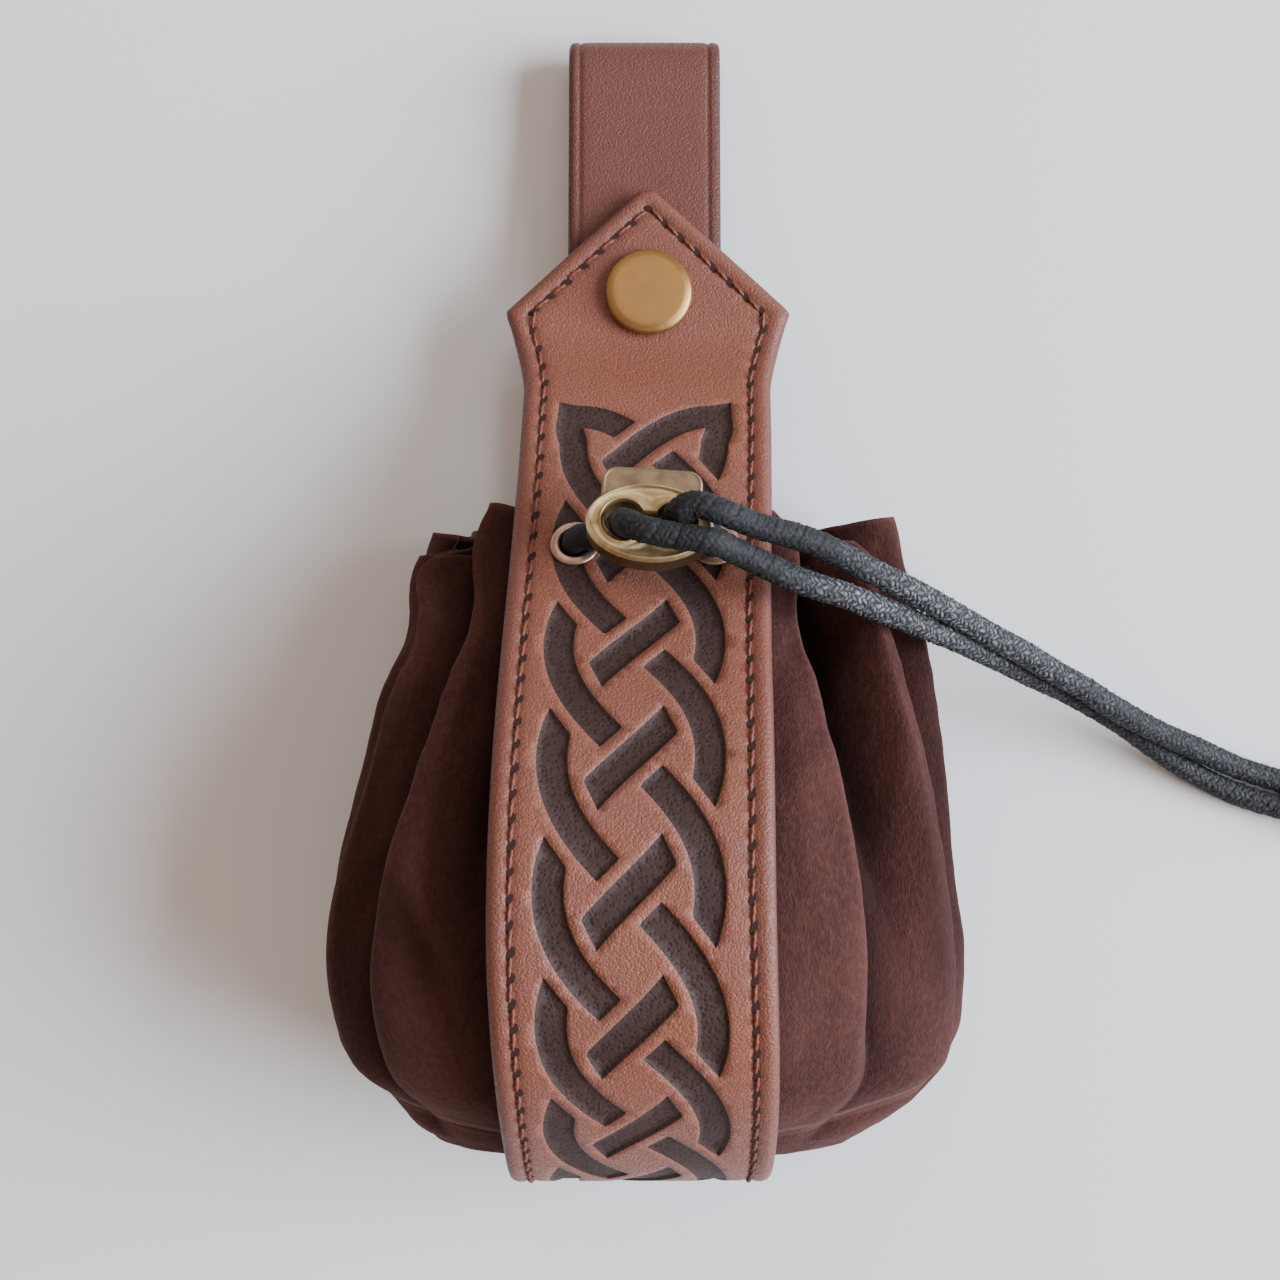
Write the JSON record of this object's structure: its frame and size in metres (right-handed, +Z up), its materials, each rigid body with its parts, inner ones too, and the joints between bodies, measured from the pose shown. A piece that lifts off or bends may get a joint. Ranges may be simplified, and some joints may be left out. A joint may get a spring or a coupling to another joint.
{
  "type": "medieval belt pouch",
  "caption": "Gathered suede drawstring pouch on a long plaited-pattern leather strap with a snap flap, folded belt loop, eyelets, cord lock and black cord.",
  "frame": {"origin": "on the surface that the pouch lies on, under the middle of its length and width, the free cord left out", "axes": "+Z up from the surface, through the strap's patterned front; +Y from the base to the belt loop; +X to the right seen from above"},
  "size_m": [0.1914, 0.1966, 0.0675],
  "materials": {
    "suede": "dark brown napped suede",
    "strap_leather": "satin reddish-brown leather with painted edges",
    "loop_leather": "satin reddish-brown leather",
    "snap_brass": "brushed antique brass",
    "eyelet_brass": "antique brass",
    "lock_brass": "worn antique brass",
    "black_cord": "waxed braided cotton"
  },
  "bodies": {
    "pouch": {"suede_wall": "suede", "suede_base": "suede", "wrap_strap": "strap_leather", "belt_loop": "loop_leather", "snap_cap": "snap_brass", "snap_post": "snap_brass", "eyelet_left": "eyelet_brass", "eyelet_right": "eyelet_brass", "lock_body": "lock_brass", "drawstring_loop": "black_cord", "strand_upper": "black_cord", "strand_lower": "black_cord", "cord_knot": "black_cord"},
    "lock_button": {"lock_button": "lock_brass"}
  },
  "joints": [
    {"name": "lock_button_slide", "type": "slide", "parent": "pouch", "child": "lock_button", "axis": [-0.0698, -0.9636, 0.2582], "range_m": [0, 0.0015], "stiffness_N_per_m": 200, "springref_m": -0.002}
  ]
}
